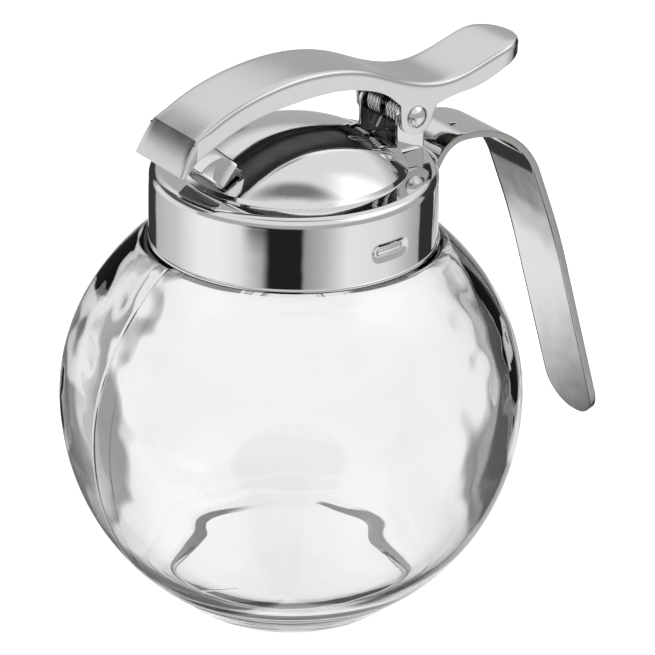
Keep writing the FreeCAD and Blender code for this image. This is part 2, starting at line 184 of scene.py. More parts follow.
def formed_sheet(
    columns: int, rows: int, form: Callable[[int, int], Vector], away: Vector
) -> Shape:
    """Flat grid pressed into shape.

    Args:
        columns: Cells along the sheet.
        rows: Cells across it.
        form: Gives the place of each column and row of the grid.
        away: Way that the sheet faces on the whole.

    Returns:
        The mesh, with touching points merged.
    """
    merge, sliver = 0.004, 0.002
    shape = bmesh.new()
    bmesh.ops.create_grid(shape, x_segments=columns, y_segments=rows, size=0.5)
    for vert in shape.verts:
        vert.co = form(round((vert.co.x + 0.5) * columns), round((vert.co.y + 0.5) * rows))
    bmesh.ops.remove_doubles(shape, verts=shape.verts[:], dist=merge)
    bmesh.ops.dissolve_degenerate(shape, edges=shape.edges[:], dist=sliver)
    bmesh.ops.recalc_face_normals(shape, faces=shape.faces[:])
    face_out(shape, away)
    return shape


def face_out(shape: Shape, away: Vector) -> None:
    """Turns an open sheet so that on the whole it looks the way of away."""
    total = sum((item.normal * item.calc_area() for item in shape.faces), Vector())
    if total.dot(away) < 0:
        bmesh.ops.reverse_faces(shape, faces=shape.faces[:])


def added(name: str, data: bpy.types.ID) -> Object:
    """New object of the scene that shows some data.

    Args:
        name: Name of the object.
        data: Mesh, curve, camera or light.

    Returns:
        The object.
    """
    made = bpy.data.objects.new(name, data)
    bpy.context.scene.collection.objects.link(made)
    return made


def settled(item: Object) -> bpy.types.Mesh:
    """Mesh of an object with its modifiers or its curve's bevel made real."""
    graph = bpy.context.evaluated_depsgraph_get()
    return bpy.data.meshes.new_from_object(item.evaluated_get(graph))


@dataclass(frozen=True)
class Edging:
    """Wall thickness and edge round that finish a sheet, and which sides stay unpolished, their
    dark colour painted shade.
    """

    wall: float = 0.0
    edge: float = 0.0
    segments: int = 2
    sharp_deg: float = 40.0
    even: bool = True
    # Whether the inside takes slot 1: unpolished steel whose dark colour is painted shade.
    shaded_unpolished_inside: bool = False
    cut_rim: bool = False


def finished(name: str, shape: Shape, edging: Edging) -> Object:
    """Object in metres made from a mesh in millimetres.

    Args:
        name: Name of the piece.
        shape: The mesh, which is freed.
        edging: Wall thickness and edge round.

    Returns:
        The object, at the origin. Material index 1 is its inside, 2 its cut rim.
    """
    mesh = bpy.data.meshes.new(name)
    shape.transform(Matrix.Scale(MM, 4))
    shape.to_mesh(mesh)
    shape.free()
    piece = added(name, mesh)
    if edging.wall:
        wall = piece.modifiers.new("wall", "SOLIDIFY")
        wall.thickness = edging.wall * MM
        wall.offset = -1.0
        wall.use_even_offset = edging.even
        for _ in range(3):
            mesh.materials.append(None)
        wall.material_offset = int(edging.shaded_unpolished_inside)
        wall.material_offset_rim = 2 * int(edging.cut_rim)
    if edging.edge:
        bevel = piece.modifiers.new("edge", "BEVEL")
        bevel.width = edging.edge * MM
        bevel.segments = edging.segments
        bevel.limit_method = "ANGLE"
        bevel.angle_limit = radians(edging.sharp_deg)
    if piece.modifiers:
        made = settled(piece)
        piece.modifiers.clear()
        piece.data = made
        made.name = name
    piece.data.shade_smooth()
    piece.data.set_sharp_from_angle(angle=radians(edging.sharp_deg))
    return piece


def fitted(piece: Object, body: str, slot: Slot, materials: list[Material], *nodes: str) -> Object:
    """Dresses a piece, mounts it on its body and hides the CAD nodes that it stands for.

    Args:
        piece: Object in place.
        body: Body that it moves with.
        slot: Not used.
        materials: Its material, then those of its inside and its cut rim where they differ.
        *nodes: CAD nodes that it stands for.

    Returns:
        The same piece.
    """
    indices = [item.material_index for item in piece.data.polygons]
    piece.data.materials.clear()
    for material in materials:
        piece.data.materials.append(material)
    for item, index in zip(piece.data.polygons, indices):
        item.material_index = min(index, len(materials) - 1)
    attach(piece, body)
    if nodes:
        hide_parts(*nodes)
    LOG.info("%s: %d faces on %s", piece.name, len(piece.data.polygons), body)
    return piece


# ---- shader helpers --------
def wire(tree: Tree, node: Node, inputs: dict) -> Node:
    """Sets or links inputs of a node.

    Args:
        tree: Tree that holds the node.
        node: The node.
        inputs: Value or output socket for each input, by name or number.

    Returns:
        The same node.
    """
    for place, value in inputs.items():
        if isinstance(value, Socket):
            tree.links.new(value, node.inputs[place])
        else:
            node.inputs[place].default_value = value
    return node


def add_node(tree: Tree, kind: str, inputs: dict | None = None, **settings: object) -> Node:
    """New node with its settings and inputs.

    Args:
        tree: Tree that gets the node.
        kind: Type of the node.
        inputs: Value or output socket for each input, by name or number.
        **settings: Attributes of the node.

    Returns:
        The node.
    """
    node = tree.nodes.new(kind)
    for name, value in settings.items():
        setattr(node, name, value)
    return wire(tree, node, inputs or {})


def maths(tree: Tree, operation: str, *values: float | Socket) -> Socket:
    """Result of a Math node whose inputs are the values in order."""
    inputs = dict(enumerate(values))
    return add_node(tree, "ShaderNodeMath", inputs, operation=operation).outputs[0]


def mixed(tree: Tree, factor: object, first: object, second: object) -> Socket:
    """Number between first and second, each a number or an output socket."""
    inputs = {"Factor": factor, "A": first, "B": second}
    return add_node(tree, "ShaderNodeMix", inputs, data_type="FLOAT").outputs["Result"]


def eased(
    tree: Tree, value: Socket, low: object, high: object,
    start: float = 0.0, end: float = 1.0
) -> Socket:
    """Number eased from start to end while a value goes from low to high."""
    inputs = {"Value": value, "From Min": low, "From Max": high, "To Min": start, "To Max": end}
    return add_node(
        tree, "ShaderNodeMapRange", inputs, interpolation_type="SMOOTHSTEP").outputs["Result"]


def vector_maths(tree: Tree, operation: str, output: str, *values: object) -> Socket:
    """Named output of a Vector Math node whose inputs are the values in order."""
    inputs = dict(enumerate(values))
    return add_node(tree, "ShaderNodeVectorMath", inputs, operation=operation).outputs[output]


def clouds(
    tree: Tree, place: Socket, scale: Socket, detail: float, roughness: float = 0.5
) -> Socket:
    """Noise from 0 to 1 at a place."""
    inputs = {"Vector": place, "Scale": scale, "Detail": detail, "Roughness": roughness}
    return add_node(tree, "ShaderNodeTexNoise", inputs).outputs["Fac"]


def bumped(tree: Tree, height: Socket, depth: float, under: Socket | None = None) -> Socket:
    """Normal of a height of some depth in metres, over another normal."""
    inputs = {"Height": height, "Distance": depth} | ({"Normal": under} if under else {})
    return add_node(tree, "ShaderNodeBump", inputs).outputs["Normal"]


def effect(tree: Tree, group: Tree, inputs: dict) -> Socket:
    """Output of a shared group placed in a tree."""
    return add_node(tree, "ShaderNodeGroup", inputs, node_tree=group).outputs[0]


def new_group(name: str, inputs: dict[str, float | None], output: str) -> tuple:
    """Empty node group with one number output.

    Args:
        name: Name of the group.
        inputs: Usual value of each number input, None for a vector input.
        output: Name of the output.

    Returns:
        The group, the outputs of its input node and its output node.
    """
    group = bpy.data.node_groups.new(name, "ShaderNodeTree")
    for label, value in inputs.items():
        kind = "NodeSocketVector" if value is None else "NodeSocketFloat"
        made = group.interface.new_socket(label, in_out="INPUT", socket_type=kind)
        if value is not None:
            made.default_value = value
    group.interface.new_socket(output, in_out="OUTPUT", socket_type="NodeSocketFloat")
    start, end = group.nodes.new("NodeGroupInput"), group.nodes.new("NodeGroupOutput")
    return group, start.outputs, end


def new_material(name: str, inputs: dict) -> tuple:
    """Material with one Principled shader.

    Args:
        name: Name of the material.
        inputs: Values of the shader's inputs.

    Returns:
        The material, its tree and its shader.
    """
    material = bpy.data.materials.new(name)
    material.use_nodes = True
    tree = material.node_tree
    return material, tree, wire(tree, tree.nodes["Principled BSDF"], inputs)


class NodeGroups:
    """Effects that several finishes share, each built once."""

    def __init__(self) -> None:
        """Builds every group."""
        self.ripple = self._ripple()
        self.smudge = self._smudge()
        self.grain = self._grain()
        self.seam = self._seam()

    @staticmethod
    def _ripple() -> Tree:
        """Slow unevenness of formed sheet or moulded glass, as a height.

        Returns:
            The group.
        """
        finer = 3.1
        group, start, end = new_group(
            "SurfaceRipple", {"Coordinates": None, "Scale": 60.0, "Fine": 0.3}, "Height")
        quicker = maths(group, "MULTIPLY", start["Scale"], finer)
        slow = clouds(group, start["Coordinates"], start["Scale"], 1.0)
        quick = clouds(group, start["Coordinates"], quicker, 1.0)
        wire(group, end, {"Height": maths(group, "MULTIPLY_ADD", quick, start["Fine"], slow)})
        return group

    @staticmethod
    def _smudge() -> Tree:
        """Faint handling marks on polished steel, as a mask.

        Returns:
            The group.
        """
        full = 0.75
        group, start, end = new_group(
            "HandlingSmudge", {"Coordinates": None, "Scale": 90.0, "Low": 0.45}, "Mask")
        cloud = clouds(group, start["Coordinates"], start["Scale"], 5.0, 0.62)
        wire(group, end, {"Mask": eased(group, cloud, start["Low"], full)})
        return group

    @staticmethod
    def _grain() -> Tree:
        """Fine polishing lines along the coordinates' X, as a mask.

        Returns:
            The group.
        """
        group, start, end = new_group(
            "PolishingGrain", {"Coordinates": None, "Scale": 900.0, "Stretch": 0.03}, "Mask")
        squeeze = add_node(
            group, "ShaderNodeCombineXYZ", {"X": start["Stretch"], "Y": 1.0, "Z": 1.0})
        place = vector_maths(
            group, "MULTIPLY", "Vector", start["Coordinates"], squeeze.outputs["Vector"])
        wire(group, end, {"Mask": clouds(group, place, start["Scale"], 3.0)})
        return group

    @staticmethod
    def _seam() -> Tree:
        """Fine line that a two-part mould leaves outside at the spout's side, as a height.

        It lies along Y = 0, past the distance Shell from the globe's middle.

        Returns:
            The group.
        """
        group, start, end = new_group("MouldSeam", {
            "Coordinates": None, "Half Width": 0.0007, "Middle": 0.0449, "Shell": 0.0467},
            "Height")
        middle = add_node(group, "ShaderNodeCombineXYZ", {"Z": start["Middle"]})
        reach = vector_maths(
            group, "DISTANCE", "Value", start["Coordinates"], middle.outputs["Vector"])
        outside = maths(group, "GREATER_THAN", reach, start["Shell"])
        split = add_node(group, "ShaderNodeSeparateXYZ", {0: start["Coordinates"]}).outputs
        front = maths(group, "LESS_THAN", split["X"], 0.0)
        side = maths(group, "ABSOLUTE", split["Y"])
        line = eased(group, side, 0.0, start["Half Width"], 1.0, 0.0)
        shown = maths(group, "MULTIPLY", front, outside)
        wire(group, end, {"Height": maths(group, "MULTIPLY", line, shown)})
        return group


# ---- finishes --------
@dataclass(frozen=True)
class SteelFinish:
    """Stainless steel, from mirror polish to satin.

    Scales are noise cells per metre and depths are bump heights in metres.
    """

    name: str
    colour: Triple
    smooth: float
    worn: float
    ripple_scale: float
    ripple_depth: float
    grain_depth: float
    grain_turn_deg: Triple = (0.0, 0.0, 0.0)

    def build(self, groups: NodeGroups) -> Material:
        """Material with smudges, polishing grain and the sheet's slow ripple.

        Args:
            groups: Shared effects.

        Returns:
            The material.
        """
        material, tree, shader = new_material(
            self.name, {"Base Color": (*self.colour, 1.0), "Metallic": 1.0})
        place = add_node(tree, "ShaderNodeTexCoord").outputs["Object"]
        turned = add_node(tree, "ShaderNodeMapping", {
            "Vector": place, "Rotation": [radians(a) for a in self.grain_turn_deg]})
        smudge = effect(tree, groups.smudge, {"Coordinates": place})
        grain = effect(tree, groups.grain, {"Coordinates": turned.outputs["Vector"]})
        ripple = effect(tree, groups.ripple, {"Coordinates": place, "Scale": self.ripple_scale})
        rough = add_node(tree, "ShaderNodeMapRange", {
            "Value": smudge, "To Min": self.smooth, "To Max": self.worn})
        wave = bumped(tree, ripple, self.ripple_depth)
        wire(tree, shader, {
            "Roughness": rough.outputs["Result"],
            "Normal": bumped(tree, grain, self.grain_depth, wave)})
        return material


@dataclass(frozen=True)
class GlassFinish:
    """Clear moulded glass; scales and depths as for steel."""

    name: str = "clear_moulded_glass"
    colour: Triple = (1.0, 1.0, 1.0)
    index: float = 1.5
    ripple_scale: float = 40.0
    ripple_depth: float = 0.0001
    seam_depth: float = 0.00016

    def build(self, groups: NodeGroups) -> Material:
        """Material with the slow ripple and the seam of the mould.

        Args:
            groups: Shared effects.

        Returns:
            The material.
        """
        material, tree, shader = new_material(self.name, {
            "Base Color": (*self.colour, 1.0), "Roughness": 0.0, "IOR": self.index,
            "Transmission Weight": 1.0})
        place = add_node(tree, "ShaderNodeTexCoord").outputs["Object"]
        ripple = effect(tree, groups.ripple, {"Coordinates": place, "Scale": self.ripple_scale})
        seam = effect(tree, groups.seam, {"Coordinates": place})
        wave = bumped(tree, ripple, self.ripple_depth)
        wire(tree, shader, {"Normal": bumped(tree, seam, self.seam_depth, wave)})
        return material


POLISHED = SteelFinish(
    "mirror_polished_steel", (0.86, 0.86, 0.865), 0.025, 0.07, 55.0, 0.00008, 0.0)
SATIN = SteelFinish("softly_polished_steel", (0.8, 0.8, 0.805), 0.16, 0.24, 60.0, 0.00004, 0.000003)
STRAP = SteelFinish(
    "polished_strap_steel", (0.84, 0.84, 0.845), 0.06, 0.12, 50.0, 0.00006, 0.000002,
    (0.0, 90.0, 0.0))
# Insides and the spout's underside: unpolished steel (real roughness) whose very dark colour is
# painted shade.
PAINTED_SHADE_STEEL = SteelFinish("unpolished_steel_painted_shade", (0.22, 0.215, 0.205), 0.32, 0.5, 80.0, 0.00004, 0.000006)
CUT = SteelFinish("cut_edge_steel", (0.42, 0.42, 0.405), 0.25, 0.4, 60.0, 0.00004, 0.000006)
# Inside of the bracket channel: rougher unpolished steel whose mid-grey colour is painted shade.
BRACKET_INSIDE_SHADE = SteelFinish("unpolished_bracket_inside_painted_shade", (0.46, 0.46, 0.45), 0.2, 0.36, 80.0, 0.00006, 0.000004)
WIRE = SteelFinish("drawn_spring_wire", (0.8, 0.8, 0.79), 0.10, 0.18, 200.0, 0.00001, 0.000004)


# ---- glass jar --------
@dataclass
class Jar:
    """Round glass jar.

    The wave sizes are noise cells per millimetre, and each range of heights is where an
    effect starts and where it is full.
    """

    radius: float = 48.9
    mid_z: float = 44.9
    upper_turn: Pair = (44.3, 64.0)
    lower_turn: Pair = (43.7, 22.0)
    foot_radius: float = 24.6
    foot_round: Pair = (0.4, 0.3)
    foot: Pair = (25.0, 1.6)
    wall: float = 3.0
    floor: float = 6.0
    floor_bend: float = 3.6
    floor_lead: float = 2.2
    shoulder: Pair = (33.2, 78.6)
    lip: Pair = (30.9, 80.3)
    lip_rounds: Pair = (1.2, 0.8)
    foot_lines: Pair = (3.6, 6.6)
    line_half: float = 0.5
    line_clear: float = 0.6
    line_depth: float = 0.3
    neck_radius: float = 27.4
    neck_wall: float = 3.0
    rim_z: float = 95.75
    rim_round: float = 0.9
    arc_steps: int = 20
    spin_steps: int = 160
    wave: float = 0.3
    wave_sizes: Pair = (0.055, 0.16)
    wave_shares: Pair = (1.6, 0.6)
    calm: float = 0.2
    calm_z: Pair = (36.0, 60.0)
    inner_depth: Pair = (1.6, 2.6)
    neck_z: Pair = (91.0, 76.0)
    low_z: Pair = (26.0, 8.0)
    low_still: float = 0.75
    low_lift: float = 0.1
    belly: float = 1.8
    belly_low_z: Pair = (14.0, 36.0)
    belly_high_z: Pair = (80.0, 64.0)

    def side(self, turn: Pair, end: Pair, inset: float) -> list[Vector]:
        """Half of the globe's side from its widest section to an end.

        Args:
            turn: Radius and height where the curve tightens.
            end: Radius and height of the end.
            inset: Distance inside the outer surface.

        Returns:
            Points of two tangent arcs.
        """
        widest, over, last = flat(self.radius, self.mid_z), flat(*turn), flat(*end)
        chord = over - widest
        first = widest - flat(chord.dot(chord) / (-2 * chord.x), 0)
        normal = (first - over).normalized()
        rest = last - over
        second = over + normal * (rest.dot(rest) / (2 * rest.dot(normal)))
        points = []
        for centre, a, b in ((first, widest, over), (second, over, last)):
            shrink = 1 - inset / (a - centre).length
            arc = arc_points(
                centre, centre + (a - centre) * shrink, centre + (b - centre) * shrink,
                self.arc_steps)
            points += arc[1:] if points else arc
        return points

    def outline(self) -> tuple[list[Vector], int]:
        """Outer and inner outline in one line from the foot's centre.

        Returns:
            The points and the number of outer ones.
        """
        lower = self.scored(self.side(self.lower_turn, self.foot, 0)[::-1])
        upper = self.side(self.upper_turn, self.shoulder, 0)[1:]
        lip, neck = flat(*self.lip), self.neck_radius
        inner = neck - self.neck_wall
        inset, rise = self.foot_round
        outer = [flat(0, 0), flat(self.foot_radius * 0.5, 0), flat(self.foot_radius - inset, 0),
                 flat(self.foot_radius, rise)]
        outer += lower + upper
        outer += rounded(
            [outer[-1], lip, flat(neck, lip.z), flat(neck, self.rim_z), flat(inner, self.rim_z),
             flat(inner, lip.z + 1.2)],
            [*self.lip_rounds, self.rim_round, self.rim_round], 5)[1:]
        down = self.side(self.upper_turn, self.shoulder, self.wall)[::-1]
        down += self.side(self.lower_turn, self.foot, self.wall)[1:]
        inside = [point for point in down if point.z > self.floor + 1.0]
        corner = flat(inside[-1].x - self.floor_lead, self.floor)
        inside = inside[:-4]
        turned = rounded([inside[-1], corner, flat(0, self.floor)], [self.floor_bend], 12)
        return outer + inside + turned[1:], len(outer)

    def scored(self, line: list[Vector]) -> list[Vector]:
        """Rising line with the shallow rings of the mould's foot pressed in.

        Args:
            line: The outer line from the foot up.

        Returns:
            The line with its rings.
        """
        heights, radii = [point.z for point in line], [point.x for point in line]
        made = [p for p in line if all(abs(p.z - z) > self.line_clear for z in self.foot_lines)]
        for z in self.foot_lines:
            for rise, inset in (
                    (-self.line_half, 0.0), (0.0, self.line_depth), (self.line_half, 0.0)):
                radius = float(np.interp(z + rise, heights, radii))
                made.append(flat(radius - inset, z + rise))
        return sorted(made, key=lambda point: point.z)

    def uneven(self, shape: Shape, outer: list[Vector]) -> None:
        """Makes the inner wall uneven, as blown glass is.

        Args:
            shape: Mesh of the jar.
            outer: Rising outline of the outer surface.
        """
        heights, radii = [point.z for point in outer], [point.x for point in outer]
        for vert in shape.verts:
            z = vert.co.z
            ring = hypot(vert.co.x, vert.co.y)
            depth = float(np.interp(z, heights, radii)) - ring
            inner = smooth_step(*self.inner_depth, depth) * smooth_step(*self.neck_z, z)
            if ring < 1e-6 or inner == 0.0 or z < 0.5:
                continue
            slow = noise.noise(vert.co * self.wave_sizes[0] + Vector((4.0, 1.0, 7.0)))
            quick = noise.noise(vert.co * self.wave_sizes[1] + Vector((9.0, 3.0, 2.0)))
            calm = self.calm + (1 - self.calm) * smooth_step(*self.calm_z, z)
            push = self.wave * inner * (
                slow * self.wave_shares[0] + quick * self.wave_shares[1]) * calm
            push -= self.belly * inner * smooth_step(*self.belly_low_z, z) * smooth_step(
                *self.belly_high_z, z)
            low = smooth_step(*self.low_z, z)
            away = Vector((vert.co.x, vert.co.y, 0)).normalized()
            vert.co += away * (push * (1 - self.low_still * low))
            vert.co.z += push * low * self.low_lift

    def make(self, glass: Material) -> Object:
        """Jar in one closed wall.

        Args:
            glass: Its material.

        Returns:
            The piece.
        """
        points, count = self.outline()
        globe = [point for point in points[:count] if point.z <= self.shoulder[1]]
        shape = spun(points, self.spin_steps)
        self.uneven(shape, globe[2:])
        piece = finished("jar", shape, Edging(sharp_deg=60))
        piece.visible_shadow = False
        return fitted(piece, JAR_BODY, Slot.GLASS, [glass], "glass_jar")


# ---- steel cap --------
@dataclass
class Cap:
    """Drawn cap with a collar, a ledge, a low dome and two pressed slots."""

    radius: float = 30.0
    bottom_z: float = 80.8
    ledge_z: float = 96.6
    fillet: float = 2.0
    dome_radius: float = 22.9
    dome_step: float = 0.6
    dome_height: float = 8.7
    bead: float = 0.35
    bead_height: float = 1.0
    collar_draw: float = 0.16
    draw_height: float = 6.0
    draw_end: float = 2.2
    ledge_fall: float = 0.3
    sheet: float = 0.8
    slot_z: float = 87.4
    slot_length: float = 9.4
    slot_height: float = 3.8
    slot_depth: float = 0.5
    bar_length: float = 6.6
    bar_height: float = 1.2
    bar_rise: float = 0.36
    slot_angles_deg: Pair = (-84.0, 96.0)
    spin_steps: int = 180
    slot_cuts: int = 5

    def outline(self) -> list[Vector]:
        """Outer outline from the collar's lower edge to the crown.

        Returns:
            The points in order.
        """
        rise, base = self.dome_height, self.dome_radius
        ball = (rise * rise + base * base) / (2 * rise)
        foot = self.ledge_z + self.dome_step
        arc = arc_points(flat(0, foot + rise - ball), flat(base, foot), flat(0, foot + rise), 26)
        half = self.bead_height / 2
        middle = self.bottom_z + half * sin(pi / 3)
        wall = [flat(self.radius + self.bead * cos(turn), middle + half * sin(turn))
                for turn in np.linspace(-pi / 3, pi / 2, 9)]
        top = self.ledge_z - self.draw_end
        for z in np.linspace(wall[-1].z + 0.2, top, 22):
            share = max(z - top + self.draw_height, 0.0) / self.draw_height
            wall.append(flat(self.radius - self.collar_draw * share * share, z))
        low = self.ledge_z - self.ledge_fall
        corner = rounded(
            [wall[-1], flat(wall[-1].x - 0.05, self.ledge_z), flat(base + 1.0, low)],
            [self.fillet], 10)[1:-1]
        step = rounded(
            [corner[-1], flat(base + self.dome_step, low), arc[0], arc[1]], [0.3, 0.3], 4)[1:]
        return wall + corner + step + arc[2:]

    def press_slots(self, shape: Shape) -> None:
        """Presses the two slots into the collar."""
        for angle_deg in self.slot_angles_deg:
            near = [f for f in shape.faces if self._within(f.calc_center_median(), angle_deg)]
            edges = list({edge for f in near for edge in f.edges})
            bmesh.ops.subdivide_edges(shape, edges=edges, cuts=self.slot_cuts, use_grid_fill=True)
            for vert in shape.verts:
                if self._within(vert.co, angle_deg):
                    away = Vector((vert.co.x, vert.co.y, 0)).normalized()
                    vert.co -= away * self.slot_push(*self._local(vert.co, angle_deg))

    def slot_push(self, along: float, up: float) -> float:
        """Depth of the pressed slot, whose middle bar stands out again.

        Args:
            along: Distance round the collar from the slot's middle.
            up: Height above the slot's middle.

        Returns:
            The depth, 0 outside the slot.
        """
        half, bar = self.slot_height / 2, self.bar_height / 2
        reach = hypot(max(abs(along) - self.slot_length / 2 + half, 0.0), up)
        depth = self.slot_depth * smooth_step(half + 0.4, half - 1.1, reach)
        reach = hypot(max(abs(along) - self.bar_length / 2 + bar, 0.0), up)
        return depth - self.bar_rise * smooth_step(bar + 0.45, bar - 0.35, reach)

    def _local(self, point: Vector, angle_deg: float) -> Pair:
        """Distance round the collar and height of a point from a slot's middle.

        Args:
            point: The point.
            angle_deg: Azimuth of the slot's middle.

        Returns:
            Both distances.
        """
        turn = atan2(point.y, point.x) - radians(angle_deg)
        turn = (turn + pi) % (2 * pi) - pi
        return turn * self.radius, point.z - self.slot_z

    def _within(self, point: Vector, angle_deg: float) -> bool:
        """Whether a point lies on the collar near a slot.

        Args:
            point: The point.
            angle_deg: Azimuth of the slot's middle.

        Returns:
            True on the patch that is pressed.
        """
        skin, end, side = 0.18, 1.2, 2.8
        along, up = self._local(point, angle_deg)
        on_wall = abs(hypot(point.x, point.y) - self.radius) < skin
        return on_wall and abs(along) < self.slot_length / 2 + end and abs(up) < side

    def open_spout(self, shape: Shape, spout: "Spout") -> None:
        """Cuts the way of a spout through the dome.

        Args:
            shape: Mesh of the cap.
            spout: The spout.
        """
        def near_spout() -> list[bmesh.types.BMFace]:
            """Faces of the dome's spout side."""
            middles = ((item, item.calc_center_median()) for item in shape.faces)
            return [item for item, middle in middles
                    if middle.x < -10.0 and middle.z > self.ledge_z + 0.2]

        planes = spout.inner_planes()
        for place, normal in planes:
            near = near_spout()
            geom = near + list({e for f in near for e in f.edges})
            geom += list({v for f in near for v in f.verts})
            bmesh.ops.bisect_plane(shape, geom=geom, plane_co=place, plane_no=normal, dist=1e-4)
        inside = [item for item in near_spout() if all(
            (item.calc_center_median() - place).dot(normal) < 0 for place, normal in planes)]
        bmesh.ops.delete(shape, geom=inside, context="FACES")

    def make(self, steel: Material, unpolished_shaded: Material, spout: "Spout") -> Object:
        """Cap in one drawn sheet.

        Args:
            steel: Its material.
            unpolished_shaded: Material of its unpolished inside, darkened with painted shade.
            spout: The spout, whose way it opens.

        Returns:
            The piece.
        """
        shape = spun(self.outline(), self.spin_steps)
        face_out(shape, UP)
        self.press_slots(shape)
        self.open_spout(shape, spout)
        edging = Edging(wall=self.sheet, sharp_deg=50, shaded_unpolished_inside=True)
        piece = finished("cap_shell", shape, edging)
        return fitted(piece, JAR_BODY, Slot.POLISHED, [steel, unpolished_shaded], "cap")


# ---- spout --------
@dataclass
class Spout:
    """Rising square tube out of the dome, with its mouth along the lever's hood."""

    rise_deg: float = 40.0
    width: float = 13.6
    height: float = 6.4
    edge_round: float = 0.9
    sheet: float = 0.8
    floor_x: float = -20.6
    ledge_z: float = 96.6
    root: float = 2.2
    mouth_gap: float = 1.15
    brow: Pair = (-27.6, 109.0)
    brow_normal: Pair = (-0.45, 0.89)
    hood_foot: Pair = (-33.1, 103.6)
    hood_crease: Pair = (-29.0, 110.3)

    def along(self) -> Vector:
        """Direction of the rise."""
        rise = radians(self.rise_deg)
        return flat(-cos(rise), sin(rise))

    def across(self) -> Vector:
        """Direction from the tube's underside to its top."""
        rise = radians(self.rise_deg)
        return flat(sin(rise), cos(rise))

    def start(self) -> Vector:
        """Where the underside's line meets the ledge's height."""
        return flat(self.floor_x, self.ledge_z)

    def inner_planes(self) -> list[tuple[Vector, Vector]]:
        """Planes of the tube's inner faces with their outward directions.

        Returns:
            A point and a direction for each plane.
        """
        half = self.width / 2 - self.sheet
        up = self.across()
        return [
            (Vector((0, half, 0)), Vector((0, 1, 0))),
            (Vector((0, -half, 0)), Vector((0, -1, 0))),
            (self.start() + up * self.sheet, -up),
            (self.start() + up * (self.height - self.sheet), up),
        ]

    def make(self, steel: Material, unpolished_shaded: Material) -> Object:
        """Tube cut to the dome below and to the hood in front.

        Args:
            steel: Its material.
            unpolished_shaded: Material of its inside and of its underside, which no wheel reaches;
                its dark colour is painted shade.

        Returns:
            The piece.
        """
        length = 50.0
        shape = bmesh.new()
        bmesh.ops.create_cube(shape, size=1.0)
        bmesh.ops.scale(shape, vec=(length, self.width, self.height), verts=shape.verts[:])
        long_edges = [e for e in shape.edges
                      if abs(e.verts[0].co.x - e.verts[1].co.x) > length / 2]
        bmesh.ops.bevel(
            shape, geom=long_edges, offset=self.edge_round, segments=5, profile=0.5,
            affect="EDGES", material=-1)
        ends = [f for f in shape.faces if abs(f.normal.x) > 0.9]
        bmesh.ops.delete(shape, geom=ends, context="FACES")
        bmesh.ops.rotate(
            shape, verts=shape.verts[:], cent=ORIGIN,
            matrix=Matrix.Rotation(radians(self.rise_deg), 3, "Y"))
        middle = self.start() + self.across() * (self.height / 2)
        bmesh.ops.translate(shape, verts=shape.verts[:], vec=middle)
        foot = flat(*self.hood_foot)
        plate = (flat(*self.hood_crease) - foot).normalized()
        into = flat(plate.z, -plate.x)
        for place, normal in (
                (foot + into * self.mouth_gap, -into),
                (flat(*self.brow), flat(*self.brow_normal)),
                (self.start() + self.along() * self.root, -self.along())):
            geom = shape.verts[:] + shape.edges[:] + shape.faces[:]
            bmesh.ops.bisect_plane(
                shape, geom=geom, plane_co=place, plane_no=normal, clear_outer=True)
        edging = Edging(wall=self.sheet, edge=0.12, sharp_deg=50, shaded_unpolished_inside=True)
        piece = finished("spout_tube", shape, edging)
        # The underside takes the dark unpolished material: painted shade under the tube.
        for item in piece.data.polygons:
            if item.normal.dot(self.across()) < -0.9:
                item.material_index = 1
        return fitted(piece, JAR_BODY, Slot.POLISHED, [steel, unpolished_shaded], "spout")


